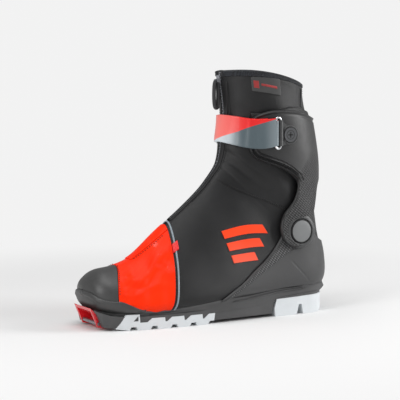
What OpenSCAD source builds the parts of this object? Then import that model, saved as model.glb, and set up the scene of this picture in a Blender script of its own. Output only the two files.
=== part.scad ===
// Cross-country skate ski boot, left foot. Millimetres, +X to the toe, +Y to the outer side, +Z up.
// The forms are laid out from the heel (x = 0) and the ground (z = 0), then moved so that the
// centre of the toe bar is the origin.

/* [Fit on the foot] */
// Scales the length of the foot part, 1 is a size 42
length_factor = 1; // [0.9:0.01:1.2]
// Scales the width of the foot and the shaft
width_factor = 1; // [0.85:0.01:1.2]
// Thickness of the outer shell fabric
shell_t = 1.8; // [1.2:0.1:2.4]
// Thickness of the padded liner
liner_t = 3.4; // [2:0.1:4.2]
// Air left between two layers that are not sewn together
layer_gap = 0.3; // [0.2:0.05:0.5]

/* [Sole and binding interface] */
// Diameter of the steel bar at the toe
bar_d = 4; // [3:0.1:5]
// Length of the bar between the jaws' walls
bar_span = 34; // [28:0.5:38]
// Height of the bar's centre over the ground
bar_z = 6.5; // [5.5:0.1:8]
// Thickness of each side wall of the toe insert
insert_wall = 3.5; // [2.5:0.1:4.5]
// Centre distance of the two guide grooves under the sole
groove_pitch = 17; // [14:0.5:20]
// Width of one guide groove
groove_w = 5; // [3.5:0.1:6]
// Depth of one guide groove
groove_depth = 3; // [1.5:0.1:3.5]
// Height of the white heel block
heel_h = 19; // [17:0.5:19.5]
// Number of lugs along the front tread
lugs = 5; // [4:1:6]

/* [Cuff and ankle hinge] */
// Thickness of the plastic cuff
cuff_t = 2.6; // [2:0.1:3.2]
// Thickness of the heel counter
counter_t = 2.4; // [1.8:0.1:2.8]
// Radius of the pivot's shank
pivot_r = 5; // [4:0.1:6]
// Radial clearance of the cuff on the pivot
pivot_clearance = 0.05; // [0.02:0.01:0.1]
// Diameter of the pivot's domed cap
cap_d = 25.5; // [22:0.5:27]

/* [Strap and zip] */
// Width of the closing strap
strap_w = 29; // [24:0.5:30]
// Thickness of the strap
strap_t = 1.6; // [1.2:0.1:2]
// Diameter of the ring's wire
ring_wire = 2.6; // [2:0.1:3]
// Width of the zip's slider
slider_w = 7; // [6:0.5:8]

/* [Hidden] */
$fn = 48;

// Places that the pieces share, from the heel and the ground
bar_x = 286 * length_factor;
pivot_x = 51 * length_factor;
pivot_z = 93;
// Station and angle of the foot's surface under the pivot
pivot_at = [11.4, 105];
ring_x = 88.5 * length_factor;
ring_z = 201;
screw_x = 70 * length_factor;
screw_z = 199;
arm_gap = 4;

// Cross-sections of the foot and shank from the toe's tip to the collar's edge. Each row gives the
// front or upper end (x, z), the back or lower end (x, z), the half widths to the outer and the inner
// side, how far the width sags to the lower end, and how square the lower half is.
sections = [
    [298, 40.5, 298, 39.5, 0.5, 0.5, 0, 2],
    [295.5, 48, 295, 30, 15, 18, 0, 2.2],
    [291, 54.5, 290, 22, 26, 29, 0.1, 2.6],
    [280, 60.5, 278, 18, 35, 39, 0.2, 3],
    [259, 64, 256, 16, 42, 46, 0.35, 4],
    [237, 73, 228, 14.5, 46, 49, 0.4, 4],
    [209, 97, 195, 14.5, 47, 47, 0.45, 4],
    [180, 120, 158, 15.5, 45, 41, 0.45, 4.5],
    [157, 140, 118, 17.5, 41, 37, 0.35, 5],
    [143, 156, 75, 20.8, 37, 34, 0.25, 5],
    [136, 166, 30, 23, 34.5, 33, 0.15, 4],
    [133, 174, 5, 34, 33.5, 33, 0.08, 2.6],
    [131, 184, 2.5, 58, 34, 34, 0.04, 2.2],
    [130, 196, 9, 88, 35, 35, 0, 2],
    [128, 208, 14, 125, 36, 36, 0, 2],
    [127, 222, 15, 165, 37, 37, 0, 2],
    [128, 236, 22, 205, 38, 38, 0, 2],
    [130, 250, 29, 230, 38, 38, 0, 2],
    [132, 266, 31, 252, 38, 38, 0, 2]
];
last = len(sections) - 1;

// A smooth curve through the rows, at station u
function row(i) = sections[max(0, min(last, i))];
function section(u) =
    let(i = max(0, min(last - 1, floor(u))), t = u - i, p = row(i - 1), q = row(i), r = row(i + 1),
        s = row(i + 2))
    (2 * q + (r - p) * t + (2 * p - 5 * q + 4 * r - s) * t * t + (3 * q - p - 3 * r + s) * t * t * t) / 2;

// Half width of a section at angle a, where 0 is the front or upper end and 180 the lower end
function bulge(s, a) =
    let(c = cos(a), reach = sin(a) >= 0 ? s[4] : s[5],
        round_part = c >= 0 ? abs(sin(a)) : pow(max(0, 1 - pow(-c, s[7])), 1 / s[7]))
    sign(sin(a)) * reach * width_factor * round_part * (1 - s[6] * c) / (1 + 0.45 * s[6]);

// A point of the foot's surface at station u and angle a, positive angles on the outer side
function foot(u, a) =
    let(s = section(u), t = (1 - cos(a)) / 2)
    [(s[0] + t * (s[2] - s[0])) * length_factor, bulge(s, a), s[1] + t * (s[3] - s[1])];

function outward(u, a) =
    let(along = foot(min(last, u + 0.02), a) - foot(max(0, u - 0.02), a), n = cross(foot(u, a + 1)
        - foot(u, a - 1), along))
    n / norm(n);

// The same point, moved out of the surface by d
function skin(u, a, d) = foot(u, a) + d * outward(u, a);

function share(a) = (1 - cos(a)) / 2;
function mix(from, to, t) = from + (to - from) * t;
function ramp(x, from, to) = let(t = max(0, min(1, (x - from) / (to - from)))) t * t * (3 - 2 * t);

module place() {
    translate([-bar_x, 0, -bar_z]) children();
}

// A closed sheet that follows the foot. at(s, t) gives [u, a] for s and t from 0 to 1, and
// low(u, a) and high(u, a) give how far its two faces stand off the surface.
module sheet(at, rows, cols, low, high) {
    grid = [for (i = [0:rows], j = [0:cols]) at(i / rows, j / cols)];
    top = [for (g = grid) skin(g[0], g[1], high(g[0], g[1]))];
    under = [for (g = grid) skin(g[0], g[1], low(g[0], g[1]))];
    k = len(grid);
    w = cols + 1;
    upper_faces = [for (i = [0:rows - 1], j = [0:cols - 1]) let(n = i * w + j)
        each [[n, n + w, n + w + 1], [n, n + w + 1, n + 1]]];
    lower_faces = [for (f = upper_faces) [f[2] + k, f[1] + k, f[0] + k]];
    rim = concat([for (j = [0:cols]) j], [for (i = [1:rows]) i * w + cols],
        [for (j = [1:cols]) rows * w + cols - j], [for (i = [1:rows - 1]) (rows - i) * w]);
    sides = [for (i = [0:len(rim) - 1]) let(m = rim[i], n = rim[(i + 1) % len(rim)])
        each [[m, n, n + k], [m, n + k, m + k]]];
    polyhedron(concat(top, under), concat(upper_faces, lower_faces, sides));
}

function plain(d) = function (u, a) d;

// Extrudes an outline of the side view through the whole width, or from y0 to y1
module side_view(y0 = -80, y1 = 80) {
    translate([0, y1, 0]) rotate([90, 0, 0]) linear_extrude(y1 - y0) children();
}

// Outline of the foot in plan, drawn in by inset
module foot_plan(inset) {
    heel_r = 31;
    heel_x = 37;
    narrow = 0.93;
    outer = [for (u = [1:0.5:9.5]) let(s = section(u))
        [s[2] * length_factor, s[4] * width_factor * narrow - inset]];
    inner = [for (u = [9.5:-0.5:1]) let(s = section(u))
        [s[2] * length_factor, inset - s[5] * width_factor * narrow]];
    heel = [for (side = [1, -1]) [heel_x * length_factor, side * (heel_r - inset) * width_factor]];
    polygon(concat(outer, heel, inner));
    translate([heel_x * length_factor, 0]) scale(width_factor) circle(heel_r - inset);
}

// The line that the upper stands on, raised by h, as points from toe to heel
function sole_line(h, drop = 0) = [for (p = [[296, 27], [290, 22], [278, 18], [256, 16], [228, 14.5],
    [195, 14.5], [158, 15.5], [118, 17.5], [75, 20.8], [30, 23], [0, 24.3]])
    [p[0] * length_factor, p[1] + h - drop * ramp(p[0], 228, 250)]];

module slab(h0, h1, inset, front) {
    intersection() {
        side_view() polygon(concat(sole_line(h1), [for (i = [10:-1:0]) sole_line(h0)[i]]));
        intersection() {
            linear_extrude(90) foot_plan(inset);
            translate([0, -80, 0]) cube([front * length_factor, 160, 90]);
        }
    }
}

// Sole ------------------------------------------------------------------------------------

insert_half = bar_span / 2 + insert_wall;
shank_z = 3.5;
rand_t = 2;
core_z = 5;
tread_front = 274 * length_factor;
tread_rear = 161 * length_factor;
lug_pitch = (tread_front - tread_rear) / lugs;
heel_front = 82 * length_factor;
heel_rise = 2;
edge_t = 1.6;

// Side outline of the front tread: leaning lugs on a band, the first one taller
lug_w = lug_pitch * 0.62;
function lug_x(i) = tread_front - i * lug_pitch;
function lug_top(i) = i == 0 ? 16.4 : 12 - 0.2 * i;
function lug_lean(i) = i == 0 ? 0.65 : 1.35;
function band_top(i) = 8.2 - 0.4 * i;

module tread_side() {
    feet = [for (i = [0:lugs - 1]) let(x = lug_x(i))
        each [[x, i == 0 ? 2 : 0], [x - lug_w, 0], [x - lug_w - 2, 3.4], [x - lug_pitch + 1, 3.4]]];
    peaks = [for (i = [lugs - 1:-1:0]) let(x = lug_x(i), lean = lug_lean(i) * lug_top(i))
        each [[max(tread_rear, x - lug_w - lean), lug_top(i)], [x - lean, lug_top(i)],
            [x - lug_lean(i) * band_top(i), i == 0 ? lug_top(0) / 2 : band_top(i)],
            [i == 0 ? x : lug_x(i - 1) - lug_w - lug_lean(i - 1) * lug_top(i - 1) - 0.6,
                i == 0 ? 2.1 : band_top(i)]]];
    polygon(concat(feet, peaks));
}

// Room for the toe insert, open at the front, below and above
module insert_pocket() {
    translate([262.6 * length_factor, -insert_half - layer_gap, -1])
        cube([60, 2 * insert_half + 2 * layer_gap, 40]);
}

// The tread wraps round the sole's core with an edge of its own
module tread_shape() {
    difference() {
        intersection() {
            side_view() tread_side();
            linear_extrude(30) foot_plan(-0.6);
        }
        intersection() {
            translate([tread_rear - 40, -80, core_z]) cube([200, 160, 40]);
            linear_extrude(60) foot_plan(edge_t);
        }
        insert_pocket();
        side_view() polygon([[256 * length_factor, 9.4], [250.5 * length_factor, 9.4], [250.5 * length_factor, 15]]);
    }
}

module guide_grooves(z) {
    for (side = [-1, 1])
        translate([-1, side * groove_pitch / 2 - groove_w / 2, z - 5])
            cube([250 * length_factor, groove_w, groove_depth + 5]);
}

// Height of the cup that holds the heel, as an angle of the section
function cup_edge(u) = u < 7.8 ? mix(163, 152, ramp(u, 7, 7.6)) : mix(152, 177, ramp(u, 9.7, 10.75));

module heel_cup() {
    sheet(function (s, t) let(u = mix(7, 10.75, s)) [u, mix(cup_edge(u), 360 - cup_edge(u), t)], 12, 12,
        plain(2 * layer_gap), function (u, a) mix(2.4, 1.1, ramp(180 - abs(180 - a), 150, 168)));
}

module outsole() {
    color("#262626") place() difference() {
        union() {
            intersection() {
                side_view() polygon(concat(sole_line(-0.2, rand_t), [[0, heel_h + heel_rise + 0.1],
                    [heel_front, heel_h + 0.1], [heel_front + 4, shank_z], [tread_rear, shank_z],
                    [tread_rear + 6, core_z], [tread_front - 10, core_z], [tread_front - 4, 2.2],
                    [284 * length_factor, 3.2], [290 * length_factor, 17]]));
                linear_extrude(60) foot_plan(0);
            }
            heel_cup();
        }
        tread_shape();
        insert_pocket();
        intersection() {
            guide_grooves(shank_z);
            translate([heel_front, -60, 0]) cube([(tread_front - heel_front) - 10, 120, 8]);
        }
    }
}

// The insert carries the bar in two cheeks, with a cavity for the binding's jaw between them
module toe_insert() {
    top = sole_line(-1.6, rand_t);
    color("#d8202c") place() difference() {
        side_view(-insert_half, insert_half) polygon([top[0], [287 * length_factor, 2.5], [278 * length_factor, 1.2],
            [263 * length_factor, 3.5], [263 * length_factor, top[3][1]], top[2], top[1]]);
        side_view(-bar_span / 2, bar_span / 2) polygon([[276, -1], [276, 10.5], [280, 12.6], [289, 16.2],
            [297, 21.5], [310, 22], [310, -1]] * length_factor);
        translate([bar_x, -30, bar_z]) rotate([-90, 0, 0]) cylinder(r = bar_d / 2, h = 60);
    }
}

module toe_bar() {
    color("#c8ccd0") place() translate([bar_x, -insert_half + 0.6, bar_z]) rotate([-90, 0, 0])
        cylinder(d = bar_d, h = 2 * insert_half - 1.2);
}

module front_tread() {
    color("#f2f2f0") place() difference() {
        tread_shape();
        guide_grooves(0);
    }
}

module heel_tread() {
    color("#f2f2f0") place() difference() {
        intersection() {
            side_view() polygon([[15, 0], [9, 6], [6, 14], [4, heel_h + heel_rise - 0.1], [heel_front - 3, heel_h],
                [heel_front, 9], [heel_front - 1, 0], [52 * length_factor, 0], [49 * length_factor, 11],
                [45 * length_factor, 11], [43 * length_factor, 0]]);
            linear_extrude(60) foot_plan(-0.6);
        }
        guide_grooves(0);
    }
}

module lasting_board() {
    color("#b89a6a") place() slab(shell_t + 2 * layer_gap, shell_t + 2 * layer_gap + 1.2, 17, 276);
}

bed_low = shell_t + 2 * layer_gap + 1.2 + liner_t + 2.3;

module footbed() {
    color("#4a4d52") place() slab(bed_low, bed_low + 3, 18, 262);
}

// Upper -----------------------------------------------------------------------------------

feather = 166;
function toe_seam(a) = 3.35 + 0.68 * pow(1 - share(a), 3);
function band_front(a) = 5.38 + 0.92 * (1 - share(a));
function band_rear(a) = band_front(a) + 0.1;
function pipe_rear(a) = band_rear(a) + 0.05;
function hinge_low(a) = 8.5 + 5.2 * share(a);
function hinge_high(a) = 11.6 + 2.45 * share(a);

module toe_cap() {
    color("#2b2b2c") place()
        sheet(function (s, t) let(a = mix(-112, 112, t)) [mix(0.05, toe_seam(a) - 0.01, s), a], 7, 18,
            plain(-shell_t), plain(0));
}

// The rand wraps the toe's lower edge and stops in a ledge
function ledge(u) = mix(84, 113, ramp(u, 0, 3.4));

module toe_rand() {
    color("#303031") place()
        sheet(function (s, t) let(u = mix(0.05, 4.5, s), b = mix(ledge(u), 172, ramp(u, 3.4, 4.5) * 0.45))
            [u, mix(b, 360 - b, t)], 8, 16, plain(2 * layer_gap),
            function (u, a) mix(rand_t, 1.1, ramp(u, 3, 4.5)));
}

module vamp_panel() {
    color("#ff3a14") place()
        sheet(function (s, t) let(a = mix(-feather, feather, t)) [mix(toe_seam(a) + 0.01, band_front(a), s), a],
            7, 26, plain(-shell_t), plain(0));
}

module piping() {
    color("#8fa0ab") place()
        sheet(function (s, t) let(a = mix(-155, 155, t)) [mix(band_rear(a), pipe_rear(a), s), a], 1, 22,
            plain(1.6 * layer_gap), plain(layer_gap + 1.2));
}

module zip_flap() {
    color("#e03214") place()
        sheet(function (s, t) let(u = mix(4.9, 6.2, s)) [u, mix(-13, 14 + 11 * ramp(u, 4.9, 6.2), t)], 6, 4,
            plain(layer_gap), plain(layer_gap + 0.9));
}

module side_tag() {
    color("#c9252b") place()
        sheet(function (s, t) [mix(6.32, 6.4, s), mix(50, 64, t)], 1, 2, plain(layer_gap), plain(layer_gap + 0.7));
}

zip_a = 6;
quarter_rows = 14;

module quarter(side) {
    sheet(function (s, t) let(u0 = mix(5.5, 13.7, s), last_a = mix(feather, 179.4, ramp(u0, 9.5, 10.6)),
        a = mix(zip_a, last_a, t), low = band_front(a) + 0.01, u = mix(low, hinge_low(a), s))
        side > 0 ? [u, a] : [u, -a], quarter_rows, 14, plain(-shell_t), plain(0));
}

module quarter_lateral() {
    color("#2d2d2e") place() quarter(1);
}

module quarter_medial() {
    color("#2d2d2e") place() quarter(-1);
}

module side_graphic() {
    color("#f5411c") place()
        for (k = [0:2])
            sheet(function (s, t) let(u = mix(7.9, 9.7 - 0.45 * k, s))
                [u, mix(76, 84, t) + 12.5 * k + 6 * (u - 8.6)], 5, 1, plain(layer_gap), plain(layer_gap + 0.35));
}

// Inside ----------------------------------------------------------------------------------

lace_zone = 3.6;
liner_out = shell_t + 3 * layer_gap;
function liner_slit(u) = mix(2, 30, ramp(u, 5.4, 6.7));
function under_foot(u, a) = ramp(abs(a > 180 ? 360 - a : a), 118, 158) * (1 - ramp(u, 9.6, 11));
liner_high = function (u, a) -liner_out - 1.6 * under_foot(u, a);
liner_low = function (u, a) liner_high(u, a) - liner_t;

module liner_foot() {
    color("#55585c") place()
        sheet(function (s, t) let(u0 = mix(1.3, 8.2, s), a = mix(liner_slit(u0), 360 - liner_slit(u0), t))
            [mix(1.3, hinge_low(a) - 0.35, s), a], 12, 28, liner_low, liner_high);
}

module liner_shaft() {
    color("#55585c") place()
        sheet(function (s, t) let(a = mix(30, 330, t)) [mix(hinge_high(a) + 0.2, 17.4, s), a], 6, 24,
            liner_low, liner_high);
}

module tongue() {
    color("#3c3e42") place()
        sheet(function (s, t) [mix(6.9, 9.6, s), mix(-24, 24, t)], 5, 8, plain(-liner_out - lace_zone - 3),
            plain(-liner_out - lace_zone));
}

module lace_loops() {
    color("#1f1f20") place()
        for (side = [-1, 1], u = [7.2:0.55:8.3])
            sheet(function (s, t) [mix(u - 0.13, u + 0.13, s), mix(22 * side - 4, 22 * side + 4, t)], 1, 1,
                plain(-shell_t - 2.6), plain(-shell_t - layer_gap));
}

lace_d = 2;

module lace_run(p, q) {
    d = q - p;
    flat = norm([d[0], d[1]]);
    translate(p) rotate([0, atan2(flat, d[2]), atan2(d[1], d[0])]) cylinder(d = lace_d, h = norm(d));
}

module laces() {
    color("#d9dadb") place()
        for (u = [7.2:0.55:7.9], side = [-1, 1]) {
            shift = side > 0 ? 0.16 : 0.4;
            depth = -liner_out - lace_d / 2 - 0.2;
            lace_run(skin(u + shift, -15, depth), skin(u + shift, 15, depth));
        }
}

// Ankle -----------------------------------------------------------------------------------

module ankle_gusset() {
    color("#29292a") place()
        sheet(function (s, t) let(a = mix(6, 354, t)) [mix(hinge_low(a) + 0.03, hinge_high(a) - 0.03, s), a], 3, 28,
            plain(-shell_t), plain(0));
}

counter_low = 2 * layer_gap;
counter_high = counter_low + counter_t;
pad_y = foot(pivot_at[0], pivot_at[1])[1] + counter_high + 1.3;
pad_r = 12;
arm_seat = pad_y + 0.2;
arm_face = arm_seat + 2.8;

module both_sides() {
    children();
    mirror([0, 1, 0]) children();
}

module at_pivot(y0, y1, r) {
    translate([pivot_x, y0, pivot_z]) rotate([-90, 0, 0]) cylinder(r = r, h = y1 - y0);
}

module heel_counter() {
    color("#343536") place() difference() {
        union() {
            intersection() {
                sheet(function (s, t) [mix(7, 12.9, s), mix(88, 272, t)], 12, 16, plain(counter_low),
                    plain(counter_high));
                side_view() polygon([[157 * length_factor, 22], [143 * length_factor, 31.5], [125 * length_factor, 41.5],
                    [110 * length_factor, 53], [94 * length_factor, 63.5], [81 * length_factor, 76],
                    [73 * length_factor, 87], [64 * length_factor, 101], [55 * length_factor, 107],
                    [43 * length_factor, 105], [34 * length_factor, 96], [24 * length_factor, 85],
                    [12 * length_factor, 79], [-12, 76], [-12, 33.2], [42 * length_factor, 33],
                    [65 * length_factor, 32.4], [89 * length_factor, 30.7], [110 * length_factor, 29],
                    [137 * length_factor, 28.2], [151 * length_factor, 24]]);
            }
            both_sides() at_pivot(pad_y - 2.6, pad_y, pad_r);
        }
        both_sides() at_pivot(20, 60, pivot_r + press_gap);
        both_sides() at_pivot(20, stud_seat, stud_head_r + layer_gap);
    }
}

press_gap = 0.02;
stud_head_r = pivot_r + 2.4;
stud_seat = pad_y - 1.2;
cap_base = arm_face + 0.1;
cap_t = 2.4;

module pivot_studs() {
    color("#3a3b3d") place() both_sides() {
        at_pivot(stud_seat - 1, stud_seat, stud_head_r);
        at_pivot(stud_seat - 0.5, cap_base + 1.1, pivot_r);
    }
}

// A domed disc that hides the end of the stud
module pivot_caps() {
    rim_h = 0.9;
    crown = [for (i = [0:8]) [cap_d / 2 * sin(11.25 * i), rim_h + (cap_t - rim_h) * cos(11.25 * i)]];
    seat = [[cap_d / 2, 0], [pivot_r + press_gap, 0], [pivot_r + press_gap, 1.2], [0, 1.2]];
    color("#8d9092") place() both_sides() translate([pivot_x, cap_base, pivot_z]) rotate([-90, 0, 0])
        rotate_extrude() polygon(concat(crown, seat));
}

// Cuff ------------------------------------------------------------------------------------

cuff_low = arm_gap;
cuff_high = cuff_low + cuff_t;

// Outline of the cuff seen from the side: a collar plate with an arm down to the pivot
module cuff_outline() {
    polygon([[110, 219], [97, 224], [85, 226], [60, 225], [43, 221.5], [30, 217], [-10, 212], [-10, 150],
        [8, 150], [17, 146], [23, 138], [28, 126], [33, 112], [37, 102], [51, 93], [76, 100], [71.5, 114.5],
        [64.6, 120.5], [59, 127.7], [55, 138], [54.6, 145], [57, 149.5], [61, 152.5], [68, 158], [79, 163.5],
        [94, 168.5], [106, 173], [111, 179], [113, 190]]);
    translate([56, 94]) circle(19.5);
}

// Two raised lips that follow the plate's lower front edge and stiffen it
lip_h = 0.9;
lip_w = 1.7;
lip_pitch = 4.4;

module cuff_lips() {
    intersection() {
        sheet(function (s, t) [mix(11.3, 15.2, s), mix(38, 116, t)], 9, 8, plain(cuff_low + 0.6),
            plain(cuff_high + lip_h));
        translate([pivot_x - 51, 0, 0]) side_view(0) intersection() {
            for (i = [0, 1])
                difference() {
                    offset(delta = -i * lip_pitch - 0.4) cuff_outline();
                    offset(delta = -i * lip_pitch - lip_w) cuff_outline();
                }
            polygon([[56, 147], [50, 156], [60, 166], [98, 181], [116, 178], [116, 170], [90, 160]]);
        }
    }
}

module cuff_shell() {
    color("#303133") place() difference() {
        union() {
            intersection() {
                sheet(function (s, t) [mix(9.9, 16.9, s), mix(38, 322, t)], 14, 20, plain(cuff_low),
                    plain(cuff_high));
                translate([pivot_x - 51, 0, 0]) side_view() cuff_outline();
            }
            both_sides() cuff_lips();
            both_sides() at_pivot(arm_seat, arm_face, 15.5);
        }
        both_sides() at_pivot(20, arm_seat, pad_r + 1.5);
        both_sides() at_pivot(20, 60, pivot_r + pivot_clearance);
        translate([screw_x, 20, screw_z]) rotate([-90, 0, 0]) cylinder(r = screw_r + 0.1, h = 60);
    }
}

function cuff_top(a) = 15.3 + 1.05 * ramp(a > 180 ? 360 - a : a, 45, 120);

module cuff_padding() {
    color("#2a2a2b") place()
        sheet(function (s, t) let(a = mix(50, 310, t)) [cuff_top(a) + mix(-1.3, 0.22, s), a], 4, 20,
            plain(layer_gap), plain(cuff_low - 3 * layer_gap));
}

function hem_low(a) = 17.5 + 0.42 * abs(sin(a));

module collar() {
    color("#262627") place()
        sheet(function (s, t) let(a = mix(zip_a, 360 - zip_a, t)) [mix(hinge_high(a), hem_low(a) - 0.01, s), a],
            10, 28, plain(-shell_t), plain(0));
}

hem_a = zip_a + 1.5;

module collar_hem() {
    color("#3d3f41") place()
        sheet(function (s, t) let(a = mix(hem_a, 360 - hem_a, t)) [mix(hem_low(a) + 0.01, 18, s), a], 1, 28,
            plain(-shell_t - 0.1), plain(0.4));
}

module collar_label() {
    color("#1c1c1d") place()
        sheet(function (s, t) [mix(16.93, 17.7, s) + 0.1 * t, mix(57, 93, t)], 2, 4, plain(layer_gap),
            plain(layer_gap + 0.5));
}

module rear_tape() {
    color("#505356") place()
        sheet(function (s, t) [mix(16.75, 17.6, s), mix(-3, 3, t) + mix(132, 143, s)], 4, 1, plain(layer_gap),
            plain(layer_gap + 0.6));
}

// Zip: the slider runs on the top stretch, where the two tapes leave a slot for its bridge
slot_u = 16.1;

module zip_chain() {
    color("#1d1d1e") place() {
        sheet(function (s, t) [mix(11.9, slot_u, s), mix(0.3 - zip_a, zip_a - 0.3, t)], 8, 2, plain(-1.2),
            plain(0.2));
        for (side = [-1, 1])
            sheet(function (s, t) [mix(slot_u + 0.02, 17.95, s), side * mix(side > 0 ? 1.7 : zip_a - 0.3,
                side > 0 ? zip_a - 0.3 : 1.7, t)], 4, 1, plain(-1.2), plain(0.2));
    }
}

module zip_lower() {
    color("#1d1d1e") place()
        sheet(function (s, t) [mix(6.52, 8.45, s), mix(0.3 - zip_a, zip_a - 0.3, t)], 5, 2, plain(-1.2),
            plain(0.2));
}

slider_u = 17.45;
slider_lean = 7;
slider_l = 11;
pin_out = 4.2;
pin_r = 0.8;

module at_slider() {
    translate(foot(slider_u, 0)) rotate([0, slider_lean, 0]) children();
}

module soft_plate(x0, x1, w, l, r) {
    translate([x0, 0, 0]) rotate([90, 0, 90]) linear_extrude(x1 - x0)
        offset(r) square([w - 2 * r, l - 2 * r], center = true);
}

module zip_slider() {
    color("#b9bdc1") place() at_slider() {
        soft_plate(0.9, 2.3, slider_w, slider_l, 2);
        translate([-3.2, -0.6, 0]) cube([5, 1.2, 4.5]);
        soft_plate(-3.4, -2.2, slider_w, slider_l, 2);
        for (side = [-1, 1])
            translate([2, side * 2.9 - 0.5, -1.8]) cube([pin_out - 1, 1, 3.4]);
        translate([pin_out, -3, 0]) rotate([-90, 0, 0]) cylinder(r = pin_r, h = 6, $fn = 24);
    }
}

pull_l = 34;

function pin_place() = let(p = foot(slider_u, 0))
    [p[0] + pin_out * cos(slider_lean), 0, p[2] - pin_out * sin(slider_lean)];

module zip_pull() {
    color("#3c4046") place() translate(pin_place()) difference() {
        union() {
            rotate([90, 0, 0]) cylinder(r = 1.6, h = 4.2, center = true);
            translate([-0.7, -2.1, -8]) cube([1.4, 4.2, 8]);
            translate([-0.9, -3.6, -pull_l]) cube([1.8, 7.2, 27]);
        }
        rotate([90, 0, 0]) cylinder(r = pin_r + 0.1, h = 10, center = true);
        translate([-5, -1.6, -pull_l + 3]) cube([10, 3.2, 14]);
    }
}

// Strap -----------------------------------------------------------------------------------

side_y = foot(15.1, 82)[1] + cuff_high + 0.8;
tab_t = 1.8;
wire_r = ring_wire / 2;
ring_gap = 6.2;
barrel_r = wire_r + 0.1 + 1.2;
ring_y = side_y + barrel_r;
barrel_x = ring_x - ring_gap;
screw_r = 2.5;
strap_low = 12.6;
strap_high = 14.9;
function strap_u(s, a) = mix(strap_low + 5 * share(a),
    strap_low + strap_w / 29 * (strap_high - strap_low) + 2.2 * share(a), s);
function strap_rise(a) = mix(1, cuff_high + layer_gap, ramp(abs(a), 32, 49));

module strap_base() {
    color("#e8382a") place()
        sheet(function (s, t) let(a = mix(-84, 68, t)) [strap_u(s, a), a], 2, 24,
            function (u, a) strap_rise(a), function (u, a) strap_rise(a) + strap_t);
}

module strap_tail() {
    fold_in = wire_r + 0.15;
    fold_out = fold_in + strap_t;
    tail_low = function (u, a) strap_rise(a) + strap_t + layer_gap + 5.2 * ramp(a, 52, 75);
    color("#b9c4cb") place() {
        sheet(function (s, t) let(a = mix(-16, 75, t)) [strap_u(s, a), a], 2, 18, tail_low,
            function (u, a) tail_low(u, a) + strap_t);
        difference() {
            translate([ring_x, ring_y, ring_z - strap_w / 2 + 0.5]) cylinder(r = fold_out, h = strap_w - 1);
            translate([ring_x, ring_y, 0]) cylinder(r = fold_in, h = 400);
            translate([ring_x, ring_y - 5, 0]) cube([10, 5 - 0.5, 400]);
        }
    }
}

module strap_rivet() {
    p = skin(14.6, -80, cuff_high + layer_gap + strap_t + 0.6);
    color("#55585b") place() translate(p) rotate([90, 0, 0]) {
        intersection() {
            cylinder(r = 5.5, h = 2);
            translate([0, 0, -10.5]) sphere(r = 12.2);
        }
    }
}

module strap_ring() {
    straight = 36 - ring_gap - ring_wire;
    color("#d5d8da") place() translate([ring_x - ring_gap / 2, ring_y, ring_z]) {
        for (side = [-1, 1])
            translate([side * ring_gap / 2, 0, -straight / 2]) cylinder(r = wire_r, h = straight);
        for (end = [0, 1])
            mirror([0, 0, end]) translate([0, 0, straight / 2]) rotate([90, 0, 0])
                rotate_extrude(angle = 180) translate([ring_gap / 2, 0]) circle(r = wire_r);
    }
}

module ring_tab() {
    color("#3b3c3e") place() difference() {
        union() {
            translate([barrel_x, ring_y, ring_z - 14]) cylinder(r = barrel_r, h = 28);
            side_view(side_y, side_y + tab_t) difference() {
                union() {
                    translate([screw_x, screw_z]) circle(10.5);
                    polygon([[barrel_x, ring_z - 14], [barrel_x, ring_z + 14], [screw_x + 3, screw_z + 10.1],
                        [screw_x + 3, screw_z - 10.1]]);
                }
                translate([screw_x, screw_z]) circle(screw_r + 0.1);
            }
        }
        translate([barrel_x, ring_y, 0]) cylinder(r = wire_r + 0.1, h = 400);
    }
}

module tab_screw() {
    head = 1.5;
    color("#4a4c4f") place() translate([screw_x, side_y + tab_t + 0.05, screw_z]) rotate([-90, 0, 0]) difference() {
        union() {
            cylinder(r = 7.8, h = head);
            translate([0, 0, -tab_t - 0.05 - 2]) cylinder(r = screw_r, h = tab_t + 2.4);
        }
        for (turn = [0, 90])
            rotate([0, 0, turn]) translate([-2.6, -0.5, 0.6]) cube([5.2, 1, 2]);
    }
}
outsole();
toe_insert();
toe_bar();
front_tread();
heel_tread();
toe_rand();
toe_cap();
lasting_board();
footbed();
liner_foot();
tongue();
laces();
lace_loops();
vamp_panel();
zip_flap();
zip_lower();
piping();
side_tag();
quarter_lateral();
quarter_medial();
heel_counter();
pivot_studs();
pivot_caps();
side_graphic();
ankle_gusset();
cuff_shell();
cuff_padding();
liner_shaft();
collar();
collar_hem();
collar_label();
rear_tape();
zip_chain();
strap_base();
strap_rivet();
ring_tab();
tab_screw();
strap_ring();
strap_tail();
zip_slider();
zip_pull();
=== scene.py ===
import math
import bpy
import numpy as np
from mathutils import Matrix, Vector


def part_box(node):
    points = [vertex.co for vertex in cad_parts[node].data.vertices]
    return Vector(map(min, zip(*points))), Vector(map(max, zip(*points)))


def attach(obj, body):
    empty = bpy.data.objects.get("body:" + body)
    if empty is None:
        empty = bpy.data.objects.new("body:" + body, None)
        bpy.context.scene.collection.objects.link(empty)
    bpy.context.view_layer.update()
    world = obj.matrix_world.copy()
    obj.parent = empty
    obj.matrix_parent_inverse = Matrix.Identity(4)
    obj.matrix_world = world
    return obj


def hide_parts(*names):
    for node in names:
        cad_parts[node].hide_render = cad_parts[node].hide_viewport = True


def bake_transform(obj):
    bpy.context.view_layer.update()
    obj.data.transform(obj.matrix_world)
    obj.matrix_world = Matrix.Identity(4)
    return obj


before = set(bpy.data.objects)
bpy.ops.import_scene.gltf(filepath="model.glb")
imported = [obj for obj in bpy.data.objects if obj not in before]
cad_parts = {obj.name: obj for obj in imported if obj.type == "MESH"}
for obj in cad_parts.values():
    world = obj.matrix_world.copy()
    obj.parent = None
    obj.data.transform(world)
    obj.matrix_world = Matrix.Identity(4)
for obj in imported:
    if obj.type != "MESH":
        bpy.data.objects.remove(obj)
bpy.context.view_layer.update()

mm = 0.001
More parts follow.
